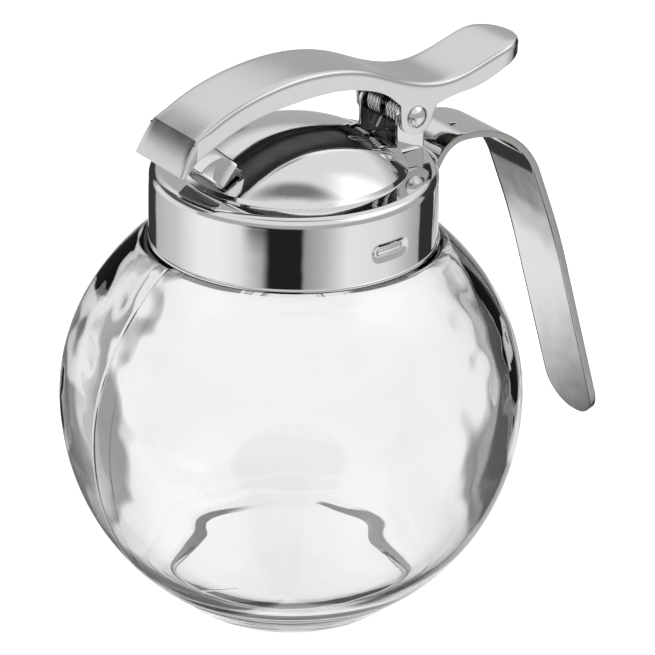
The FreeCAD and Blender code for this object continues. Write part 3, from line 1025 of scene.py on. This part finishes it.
# ---- hinge --------
@dataclass
class Hinge:
    """Bracket, rivet and double torsion spring on the ledge."""

    pivot: Pair = (25.2, 104.1)
    lever_width: float = 16.0
    sheet: float = 0.8
    bracket_front_x: float = 21.1
    bracket_back_x: float = 28.4
    bracket_half: float = 6.9
    bracket_bend: float = 0.9
    bracket_base_z: float = 96.5
    web_top_z: float = 101.2
    ear_radius: float = 3.5
    pin_radius: float = 1.5
    head_radius: float = 2.4
    head_height: float = 1.3
    head_gap: float = 0.1
    wire: float = 1.0
    coil_radius: float = 2.9
    coil_pitch: float = 1.06
    coil_turns: float = 4.0 + 80.0 / 360.0
    coil_start_deg: float = -30.0
    loop_reach: float = 8.9
    coil_gap: float = 0.15
    steps_per_turn: int = 36
    bend_span: Pair = (0.5, 8.0)

    def make_bracket(self, steel: Material, unpolished_shaded: Material) -> Object:
        """Upright channel: two ears joined by a web at the back.

        Args:
            steel: Its material.
            unpolished_shaded: Material of its unpolished inside, whose darker colour is painted
                shade.

        Returns:
            The piece.
        """
        half, back, front = self.bracket_half, self.bracket_back_x, self.bracket_front_x
        bend, rows, cells = self.bracket_bend, 10, 18
        plan = [Vector((x, -half, 0)) for x in np.linspace(front, back - bend, cells)]
        for side in (-1, 1):
            for i in range(1, 6):
                turn = radians(i * 18 if side < 0 else 90 - i * 18)
                plan.append(Vector((
                    back - bend + bend * sin(turn),
                    side * (half - bend + bend * cos(turn)), 0)))
        plan += [Vector((x, half, 0)) for x in np.linspace(back - bend, front, cells)[1:]]
        middle = (front + back) / 2

        def top(point: Vector) -> float:
            """Height of the channel's upper edge over a place of its plan.

            Args:
                point: The place.

            Returns:
                The height.
            """
            if abs(point.y) < half - bend * 0.75:
                return self.web_top_z
            span = min(abs(point.x - middle) / (back - middle), 1.0)
            return self.pivot[1] + self.ear_radius * sqrt(1 - span * span * 0.98)

        def form(column: int, row: int) -> Vector:
            """Place of a point of the sheet.

            Args:
                column: Its column.
                row: Its row.

            Returns:
                The place.
            """
            point = plan[column]
            height = self.bracket_base_z + (top(point) - self.bracket_base_z) * row / rows
            return Vector((point.x, point.y, height))

        shape = formed_sheet(len(plan) - 1, rows, form, flat(1, 0))
        edging = Edging(wall=self.sheet, edge=0.1, sharp_deg=50, shaded_unpolished_inside=True)
        piece = finished("bracket_channel", shape, edging)
        return fitted(piece, JAR_BODY, Slot.POLISHED, [steel, unpolished_shaded], "hinge_bracket")

    def make_rivet(self, steel: Material) -> Object:
        """Rivet with a domed head at each end.

        Args:
            steel: Its material.

        Returns:
            The piece.
        """
        half, radius, rise = (
            self.lever_width / 2 + self.head_gap, self.head_radius, self.head_height)
        ball = (radius ** 2 + rise ** 2) / (2 * rise)
        head = arc_points(flat(0, half + rise - ball), flat(radius, half), flat(0, half + rise), 12)
        upper = [flat(self.pin_radius, 0), flat(self.pin_radius, half),
                 flat(radius - 0.15, half), flat(radius, half + 0.12), *head[1:]]
        lower = [flat(p.x, -p.z) for p in reversed(upper[1:])]
        shape = spun(lower + upper, 64)
        bmesh.ops.rotate(
            shape, verts=shape.verts[:], cent=ORIGIN,
            matrix=Matrix.Rotation(pi / 2, 3, "X"))
        bmesh.ops.translate(shape, verts=shape.verts[:], vec=flat(*self.pivot))
        piece = finished("rivet", shape, Edging(sharp_deg=50))
        return fitted(piece, JAR_BODY, Slot.POLISHED, [steel], "rivet_pin")

    def spring_line(self) -> tuple[list[Vector], Vector]:
        """Centre line of the wire and the direction of its middle loop.

        Returns:
            The points and the loop's direction.
        """
        outer = self.bracket_half - self.sheet - self.coil_gap - self.wire / 2
        inner = outer - self.coil_pitch * self.coil_turns
        steps = int(self.coil_turns * self.steps_per_turn)
        start = radians(self.coil_start_deg)
        axis = flat(*self.pivot)

        def coil(share: float) -> tuple[Vector, Vector]:
            """Point and heading of the coil at a share of its length.

            Args:
                share: The share, from 0 to 1.

            Returns:
                The point and the heading.
            """
            angle = start + 2 * pi * self.coil_turns * share
            out = flat(cos(angle), sin(angle))
            y = outer + (inner - outer) * share
            return axis + out * self.coil_radius + Vector((0, y, 0)), flat(-out.z, out.x)

        first, first_way = coil(0.0)
        last, last_way = coil(1.0)
        drop = first.z - (self.bracket_base_z + 0.1 + self.wire)
        points = [first - first_way * (drop / first_way.z) * share
                  for share in (1.0, 0.66, 0.33)]
        points += [coil(i / steps)[0] for i in range(steps + 1)]
        straight = self.loop_reach - inner
        points += [last + last_way * (straight * i / 4) for i in range(1, 5)]
        for i in range(1, 9):
            turn = radians(90 * i / 8)
            point = last + last_way * (straight + inner * sin(turn))
            points.append(Vector((point.x, inner * cos(turn), point.z)))
        mirrored = [Vector((p.x, -p.y, p.z)) for p in reversed(points[:-1])]
        return points + mirrored, last_way

    def make_spring(self, steel: Material) -> Object:
        """Round wire along the spring's line.

        Args:
            steel: Its material.

        Returns:
            The piece.
        """
        points, way = self.spring_line()
        line = bpy.data.curves.new("spring_line", "CURVE")
        line.dimensions = "3D"
        line.bevel_depth = self.wire / 2 * MM
        line.bevel_resolution = 3
        line.use_fill_caps = True
        spline = line.splines.new("POLY")
        spline.points.add(len(points) - 1)
        for item, point in zip(spline.points, points):
            item.co = (*(point * MM), 1.0)
        carrier = added("spring_line", line)
        mesh = settled(carrier)
        bpy.data.objects.remove(carrier)
        piece = added("torsion_wire", mesh)
        mesh.shade_smooth()
        mesh.materials.clear()
        mesh.materials.append(steel)
        start, end = (tuple((flat(*self.pivot) + way * reach) * MM) for reach in self.bend_span)
        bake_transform(piece)
        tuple(start)
        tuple(end)
        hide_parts("torsion_spring")
        LOG.info("%s: %d faces between the bodies", piece.name, len(mesh.polygons))
        return piece


# ---- lever --------
@dataclass
class Lever:
    """Pressed shell: hood plate, arch, flanges, ears and thumb pad."""

    half: float = 8.0
    sheet: float = 0.8
    top_round: float = 1.0
    crease_round: float = 0.35
    round_x: Pair = (-29.0, -25.0)
    pivot: Pair = (25.2, 104.1)
    ear_radius: float = 4.0
    pad_x: float = 55.3
    hood_foot: Pair = (-33.1, 103.6)
    hood_flare: float = 0.5
    arch: tuple[Pair, ...] = (
        (-29.0, 110.3), (-22.5, 113.9), (-13.0, 117.1), (-3.0, 118.5), (6.5, 118.0),
        (13.5, 116.2), (20.5, 113.3), (27.0, 111.2), (33.0, 110.6), (39.0, 111.7),
        (45.0, 113.7), (50.0, 115.0), (55.3, 115.2))
    front_skirt: tuple[Pair, ...] = (
        (21.0, 107.4), (17.5, 110.4), (12.5, 112.5), (5.5, 113.8), (-5.0, 113.5),
        (-14.0, 112.2), (-20.0, 110.2), (-24.2, 108.2))
    rear_skirt: tuple[Pair, ...] = (
        (30.4, 105.9), (35.0, 107.0), (41.0, 107.8), (46.0, 109.6), (51.0, 111.6),
        (55.3, 112.8))
    plate_shares: tuple[float, ...] = (
        0.0, 0.02, 0.06, 0.15, 0.25, 0.35, 0.45, 0.55, 0.65, 0.75, 0.85, 0.94, 0.98)
    plate_bulge: float = 0.25
    flange_rows: int = 6
    round_rows: int = 5
    top_rows: int = 10

    def lower_line(self) -> np.ndarray:
        """Lower edge of the flanges from the hood's foot to the pad's end, as X and Z.

        Returns:
            An array of rows.
        """
        px, pz = self.pivot
        turns = np.linspace(pi, 2 * pi, 40)
        ear = np.stack(
            [px + self.ear_radius * np.cos(turns), pz + self.ear_radius * np.sin(turns)], 1)
        front = natural_spline(self.front_skirt, 80)[::-1]
        rear = natural_spline(self.rear_skirt, 60)
        return np.concatenate([[self.hood_foot], front, ear, rear])

    def places(self) -> np.ndarray:
        """Where the cross sections behind the hood stand, closer at bends and ears.

        Returns:
            The X of each section, rising.
        """
        ear = self.pivot[0] - self.ear_radius * np.cos(np.linspace(0, pi, 26))
        centre = self.pad_x - self.half
        return np.concatenate([
            [-29.0, -28.85, -28.6], np.linspace(-28.0, 20.9, 74), [21.0, 21.1],
            ear + np.linspace(1e-4, -1e-4, 26), [29.6, 30.0, 30.4],
            np.linspace(31.2, centre - 0.8, 18),
            centre + self.half * np.sin(np.linspace(0, pi / 2, 20))])

    def stations(self) -> list[tuple[Vector, Vector, Vector, float, float, float]]:
        """Cross sections along the lever.

        Returns:
            For each: the point of the top line, the way in, the flange's lower point, the
            half width, the amount of edge round and the share of the pad's end.
        """
        top, low = natural_spline(self.arch, 400), self.lower_line()
        centre, step = self.pad_x - self.half, 0.2
        foot, crease = flat(*self.hood_foot), flat(*self.arch[0])
        cut = flat(crease.x, height_on(low, crease.x))
        plate = (crease - foot).normalized()
        plate_in = flat(plate.z, -plate.x)
        made = []
        for share in self.plate_shares:
            point = foot + (crease - foot) * share
            point -= plate_in * (self.plate_bulge * 4 * share * (1 - share))
            lower = foot + (cut - foot) * share
            lower += plate_in * (self.sheet * (1 - share))
            half = self.half + self.hood_flare * (1 - share)
            made.append((point, plate_in, lower, half, self.crease_round, 0.0))
        for x in self.places():
            slope = height_on(top, x + step) - height_on(top, x - step)
            inward = flat(slope, -2 * step).normalized()
            along = min(max((x - centre) / self.half, 0.0), 1.0)
            half = self.half * sqrt(max(1 - along * along, 0.0))
            share = smooth_step(*self.round_x, x)
            bend = self.top_round * (self.crease_round + (1 - self.crease_round) * share)
            made.append(
                (flat(x, height_on(top, x)), inward, flat(x, height_on(low, x)), half, bend,
                 along))
        return made

    def make(self, steel: Material, unpolished_shaded: Material) -> Object:
        """Lever in one pressed sheet.

        Args:
            steel: Its material.
            unpolished_shaded: Material of its unpolished inside, darkened with painted shade.

        Returns:
            The piece.
        """
        made = self.stations()
        edge_rows = self.flange_rows + self.round_rows
        rows = 2 * edge_rows + self.top_rows

        def form(column: int, row: int) -> Vector:
            """Place of a point of the sheet: flange, edge round or top.

            Args:
                column: Its column.
                row: Its row.

            Returns:
                The place.
            """
            top, inward, lower, half, bend, along = made[column]
            side = -1 if row <= rows / 2 else 1
            k = min(row, rows - row)
            if k <= self.flange_rows:
                point = lower.lerp(top + inward * bend, k / self.flange_rows)
                return Vector((point.x, side * half, point.z))
            if k <= edge_rows:
                turn = pi / 2 * (k - self.flange_rows) / self.round_rows
                depth = bend * (1 - sin(turn))
                inset = bend * (1 - cos(turn))
                share = side
            else:
                depth, inset = 0.0, bend
                share = 2 * (row - edge_rows) / self.top_rows - 1
            y = half * (1 - inset / self.half) * share
            return flat(top.x - along * inset, top.z) + inward * depth + Vector((0, y, 0))

        shape = formed_sheet(len(made) - 1, rows, form, UP)
        edging = Edging(wall=self.sheet, edge=0.12, sharp_deg=55, even=False, shaded_unpolished_inside=True)
        piece = finished("lever_shell", shape, edging)
        return fitted(piece, LEVER_BODY, Slot.SATIN, [steel, unpolished_shaded], "lever")


# ---- handle --------
@dataclass
class Handle:
    """Strap handle with a saddle tab on the collar."""

    half: float = 8.0
    thick: float = 1.5
    collar: float = 30.05
    top_z: float = 97.7
    corner_x: float = 56.2
    lean_deg: float = 16.6
    foot_z: float = 20.0
    neck_bend: float = 8.0
    back_bend: float = 21.0
    ease_deg: float = 5.0
    ease_radius: float = 170.0
    ease_drop: float = 29.0
    tip_radius: float = 7.4
    tab_bottom_z: float = 83.0
    tab_centre_z: float = 89.2
    tab_radius: float = 6.4
    tab_cut: float = 0.968
    flare_z: float = 94.0
    flare_run: float = 8.0
    rows: int = 24
    nib_at: Triple = (39.2, -2.1, 97.65)
    nib: Pair = (1.1, 0.45)

    def side_line(self) -> list[Vector]:
        """Outer side line, from the tab's side on the collar over the top to the tip.

        Returns:
            The points in order.
        """
        lean = tan(radians(self.lean_deg))
        steep = tan(radians(self.lean_deg + self.ease_deg))
        out = self.collar
        foot = flat(self.corner_x + (self.top_z - self.foot_z) * lean, self.foot_z)
        knee = flat(self.corner_x + self.ease_drop * lean, self.top_z - self.ease_drop)
        corners = [flat(out, self.tab_bottom_z), flat(out, self.top_z),
                   flat(knee.x - self.ease_drop * steep, self.top_z), knee, foot]
        line = rounded(corners, [self.neck_bend, self.back_bend, self.ease_radius], 26)
        tab = [flat(out, self.tab_centre_z - self.tab_radius * sin(turn))
               for turn in np.linspace(asin(self.tab_cut), 0, 12)]
        run = foot - line[-2]
        last = self.tip_radius / run.normalized().z * -1
        straight = [line[-2] + run * share
                    for share in np.linspace(0, 1 - last / run.length, 24)[1:]]
        start = straight[-1]
        tip = [start + (foot - start) * sin(turn)
               for turn in np.linspace(0, pi / 2, 16)[1:]]
        return tab + line[1:-1] + straight + tip

    def width_at(self, point: Vector) -> float:
        """Half width of the strap at a point of its side line.

        Args:
            point: The point.

        Returns:
            The half width, less at the rounded ends.
        """
        low = self.foot_z + self.tip_radius
        if point.x < self.collar + 1 and point.z < self.tab_centre_z:
            drop, radius = self.tab_centre_z - point.z, self.tab_radius
        elif point.z < low:
            drop, radius = low - point.z, self.tip_radius
        else:
            return self.half
        return self.half - radius + sqrt(max(radius ** 2 - drop * drop, 0.0))

    def make(self, steel: Material, cut: Material) -> Object:
        """Strap in one bent sheet.

        Args:
            steel: Its material.
            cut: Material of its cut edges.

        Returns:
            The piece.
        """
        line = self.side_line()
        out = self.collar

        def form(column: int, row: int) -> Vector:
            """Place of a point of the sheet, whose tab hugs the collar.

            Args:
                column: Its column.
                row: Its row.

            Returns:
                The place.
            """
            point = line[column]
            y = self.width_at(point) * (2 * row / self.rows - 1)
            hug = smooth_step(self.flare_z, self.tab_centre_z, point.z)
            hug *= smooth_step(out + self.flare_run, out + 1, point.x)
            dip = (out - sqrt(out * out - y * y)) * hug
            return Vector((point.x - dip, y, point.z))

        shape = formed_sheet(len(line) - 1, self.rows, form, flat(1, 0))
        edging = Edging(wall=self.thick, edge=0.3, segments=3, sharp_deg=50, cut_rim=True)
        piece = finished("handle_grip", shape, edging)
        return fitted(piece, JAR_BODY, Slot.SATIN, [steel, steel, cut], "handle_strap")

    def make_nib(self, steel: Material) -> Object:
        """Small raised nib on the level run.

        Args:
            steel: Its material.

        Returns:
            The piece.
        """
        radius, rise = self.nib
        outline = [flat(radius * sin(turn), rise * cos(turn))
                   for turn in np.linspace(0, pi / 2, 8)]
        shape = spun([*outline, flat(0, 0)], 24)
        bmesh.ops.translate(shape, verts=shape.verts[:], vec=self.nib_at)
        piece = finished("strap_nib", shape, Edging(sharp_deg=60))
        return fitted(piece, JAR_BODY, Slot.SATIN, [steel])


# ---- studio, in metres --------
@dataclass(frozen=True)
class Card:
    """Grey card of the studio, by the direction in which the object sees it.

    Azimuths are in degrees from the camera's side, positive to its right.
    """

    left: float
    right: float
    low: float
    high: float
    tone: float
    soft: float


@dataclass(frozen=True)
class Lamp:
    """Square soft lamp that aims at the jar."""

    name: str
    place: Triple
    size: float
    power: float


@dataclass
class Studio:
    """Camera, pale floor, soft lamps and the surround that the steel mirrors.

    The tone of the surround follows the azimuth below the horizon (sweep) and the
    elevation above it (climb), with the cards in front, the last one foremost.
    """

    camera_at: Triple = (-0.370469, -0.532193, 0.361483)
    camera_right: Triple = (0.81839, -0.57443, 0.01631)
    camera_up: Triple = (0.23038, 0.35396, 0.90644)
    camera_back: Triple = (-0.52646, -0.73807, 0.42201)
    lens: float = 187.63
    lamps: tuple[Lamp, ...] = (
        Lamp("key", (-0.9, -0.9, 1.3), 1.0, 11.0),
        Lamp("fill", (1.1, -0.5, 0.9), 1.0, 6.0),
        Lamp("top", (0.0, 0.3, 1.6), 1.2, 9.0),
    )
    aim: Triple = (0.0, 0.0, 0.05)
    floor_radius: float = 3.0
    floor_drop: float = 0.0003
    floor_colour: Triple = (0.9, 0.9, 0.9)
    floor_glow: float = 0.45
    room_tone: float = 0.5
    sweep: tuple[Pair, ...] = (
        (-180, 1.0), (-167, 1.0), (-165, 0.02), (-142, 0.02), (-139, 0.6), (-105, 0.8),
        (-78, 1.2), (-58, 1.2), (-42, 1.05), (-31, 0.8), (-24, 0.6), (-18, 0.02), (7, 0.02),
        (10, 0.42), (26, 0.65), (44, 1.1), (80, 1.0), (108, 0.6), (117, 0.5), (119, 0.04),
        (150, 0.04), (153, 0.9), (180, 1.0))
    climb: tuple[Pair, ...] = ((-12, 0.55), (23, 0.55), (34, 1.0), (90, 1.0))
    horizon: float = -12.0
    horizon_soft: float = 4.0
    cards: tuple[Card, ...] = (
        Card(-36, 7, -20, -8, 0.02, 13.0),
        Card(-136, -112, -48, -37, 1.1, 5.0),
        Card(-165, -131, -52, -28, 0.06, 9.0),
        Card(-128.5, -112, -62, -42.5, 0.16, 2.8),
        Card(-132, -78, -14, 20, 1.0, 6.0),
        Card(-140, -76, 17, 42, 0.12, 12.0),
        Card(52, 122, 34, 66, 1.5, 16.0),
        Card(119, 152, -20, 22, 0.05, 5.0),
        Card(-165, -138, -50, 20, 0.05, 6.0),
    )
    clear_least: float = 0.25
    clear_gain: float = 0.91
    glass_cards: tuple[Card, ...] = (
        Card(-172, -118, -19, 4, 1.05, 4.0),
        Card(130, 163, -60, 6, 0.14, 7.0),
    )
    overhead_size: Pair = (0.46, 0.13)
    overhead_back: float = 0.1
    overhead_edge: Pair = (0.35, 1.3)
    overhead_tone: float = 0.26

    def place_camera(self) -> None:
        """Puts the camera in place."""
        data = bpy.data.cameras.new("camera")
        data.lens = self.lens
        data.sensor_width = 36.0
        data.clip_start = 0.01
        camera = added("camera", data)
        turn = Matrix((self.camera_right, self.camera_up, self.camera_back)).transposed()
        camera.matrix_world = Matrix.Translation(self.camera_at) @ turn.to_4x4()
        bpy.context.scene.camera = camera

    def place_lamps(self) -> None:
        """Large soft lamps at a plain level, which steel and glass don't show."""
        for lamp in self.lamps:
            data = bpy.data.lights.new(lamp.name, "AREA")
            data.size = lamp.size
            data.energy = lamp.power
            made = added(lamp.name, data)
            made.visible_glossy = False
            made.visible_transmission = False
            made.location = lamp.place
            way = Vector(self.aim) - Vector(lamp.place)
            made.rotation_euler = way.to_track_quat("-Z", "Y").to_euler()

    def place_floor(self) -> None:
        """Pale floor that glossy and clear surfaces see through to the bright surround."""
        shape = bmesh.new()
        bmesh.ops.create_circle(shape, cap_ends=True, radius=self.floor_radius, segments=64)
        mesh = bpy.data.meshes.new("floor")
        shape.to_mesh(mesh)
        shape.free()
        floor = added("floor", mesh)
        floor.location.z = -self.floor_drop
        material, tree, shader = new_material("pale_floor", {
            "Base Color": (*self.floor_colour, 1), "Roughness": 0.9,
            "Emission Color": (1, 1, 1, 1), "Emission Strength": self.floor_glow})
        path = add_node(tree, "ShaderNodeLightPath").outputs
        either = maths(tree, "MAXIMUM", path["Is Glossy Ray"], path["Is Transmission Ray"])
        clear = add_node(tree, "ShaderNodeBsdfTransparent").outputs[0]
        mix = add_node(tree, "ShaderNodeMixShader", {0: either, 1: shader.outputs[0], 2: clear})
        wire(tree, tree.nodes["Material Output"], {"Surface": mix.outputs[0]})
        mesh.materials.append(material)

    @staticmethod
    def card_group() -> Tree:
        """Group that gives how far a direction lies on a card, from 0 to 1.

        Returns:
            The group.
        """
        labels = ("Azimuth", "Elevation", "Left", "Right", "Low", "High", "Soft")
        group, start, end = new_group("StudioCard", dict.fromkeys(labels, 0.0), "Mask")
        total = None
        for first, second in (("Azimuth", "Left"), ("Right", "Azimuth"),
                              ("Elevation", "Low"), ("High", "Elevation")):
            gap = maths(group, "SUBTRACT", start[first], start[second])
            part = eased(group, maths(group, "DIVIDE", gap, start["Soft"]), -0.5, 0.5)
            total = maths(group, "MULTIPLY", total, part) if total else part
        wire(group, end, {"Mask": total})
        return group

    @staticmethod
    def ramp(tree: Tree, angle: Socket, stops: tuple[Pair, ...]) -> Socket:
        """Tone that changes with an angle.

        Args:
            tree: Node tree.
            angle: The angle in degrees.
            stops: Angles and their tones, from the first angle to the last.

        Returns:
            The tone.
        """
        first, last = stops[0][0], stops[-1][0]
        share = add_node(tree, "ShaderNodeMapRange", {
            "Value": angle, "From Min": first, "From Max": last})
        curve = add_node(tree, "ShaderNodeFloatCurve", {"Value": share.outputs["Result"]})
        curve.mapping.use_clip = False
        points = curve.mapping.curves[0].points
        for place, tone in stops[1:-1]:
            points.new((place - first) / (last - first), tone)
        points[0].location = (0.0, stops[0][1])
        points[-1].location = (1.0, stops[-1][1])
        for point in points:
            point.handle_type = "VECTOR"
        curve.mapping.update()
        return curve.outputs[0]

    def overhead(self, tree: Tree, sides: list[Socket], tone: Socket) -> Socket:
        """Tone with a long oval grey card over the object.

        Args:
            tree: Node tree.
            sides: Parts of the direction to the right and towards the camera.
            tone: Tone of the surround so far.

        Returns:
            The tone with the card.
        """
        shares = {
            axis: maths(tree, "MULTIPLY_ADD", part, 1 / size, -middle / size)
            for axis, part, size, middle in zip(
                "XY", sides, self.overhead_size, (0.0, self.overhead_back))}
        join = add_node(tree, "ShaderNodeCombineXYZ", shares)
        reach = vector_maths(tree, "LENGTH", "Value", join.outputs["Vector"])
        mask = eased(tree, reach, *self.overhead_edge, 1.0, 0.0)
        return mixed(tree, mask, tone, self.overhead_tone)

    def place_surround(self) -> None:
        """World: white to the camera, a white room with grey cards to steel and glass."""
        world = bpy.data.worlds.new("surround")
        bpy.context.scene.world = world
        world.use_nodes = True
        tree = world.node_tree
        tree.nodes.clear()
        place = add_node(tree, "ShaderNodeTexCoord").outputs["Generated"]
        back = Vector((self.camera_back[0], self.camera_back[1], 0)).normalized()
        right = Vector((-back.y, back.x, 0))
        sides = [vector_maths(tree, "DOT_PRODUCT", "Value", place, way)
                 for way in (right, back)]
        azimuth = maths(tree, "DEGREES", maths(tree, "ARCTAN2", *sides))
        height = add_node(tree, "ShaderNodeSeparateXYZ", {0: place}).outputs["Z"]
        elevation = maths(tree, "DEGREES", maths(tree, "ARCSINE", height))
        over = eased(
            tree, elevation, self.horizon - self.horizon_soft,
            self.horizon + self.horizon_soft)
        tone = mixed(
            tree, over, self.ramp(tree, azimuth, self.sweep),
            self.ramp(tree, elevation, self.climb))
        group = self.card_group()

        def carded(shown: Socket, cards: tuple[Card, ...]) -> Socket:
            """Tone with more cards in front."""
            for card in cards:
                mask = effect(tree, group, {
                    "Azimuth": azimuth, "Elevation": elevation, "Left": card.left,
                    "Right": card.right, "Low": card.low, "High": card.high,
                    "Soft": card.soft})
                shown = mixed(tree, mask, shown, card.tone)
            return shown

        tone = self.overhead(tree, sides, carded(tone, self.cards))
        clear = maths(tree, "MULTIPLY_ADD", tone, self.clear_gain, self.clear_least)
        behind = carded(clear, self.glass_cards)
        path = add_node(tree, "ShaderNodeLightPath").outputs
        seen = self.room_tone
        for ray, level in (("Is Glossy Ray", tone), ("Is Transmission Ray", behind),
                           ("Is Camera Ray", 1.0)):
            seen = mixed(tree, path[ray], seen, level)
        shine = add_node(tree, "ShaderNodeBackground", {"Strength": seen})
        add_node(tree, "ShaderNodeOutputWorld", {"Surface": shine.outputs[0]})

    def build(self) -> None:
        """Builds the whole studio."""
        bpy.context.scene.view_settings.view_transform = "Standard"
        self.place_camera()
        self.place_lamps()
        self.place_floor()
        self.place_surround()


def main() -> None:
    """Builds the dispenser and its studio in order."""
    logging.basicConfig(level=logging.INFO, format="%(name)s %(message)s")
    groups = NodeGroups()
    Studio().build()
    polished, satin, unpolished_shaded, strap = (finish.build(groups) for finish in (POLISHED, SATIN, PAINTED_SHADE_STEEL, STRAP))
    spout, hinge, handle = Spout(), Hinge(), Handle()
    Jar().make(GlassFinish().build(groups))
    Cap().make(polished, unpolished_shaded, spout)
    spout.make(polished, unpolished_shaded)
    hinge.make_bracket(polished, BRACKET_INSIDE_SHADE.build(groups))
    hinge.make_rivet(polished)
    hinge.make_spring(WIRE.build(groups))
    Lever().make(satin, unpolished_shaded)
    handle.make(strap, CUT.build(groups))
    handle.make_nib(strap)


if __name__ == "__main__":
    main()
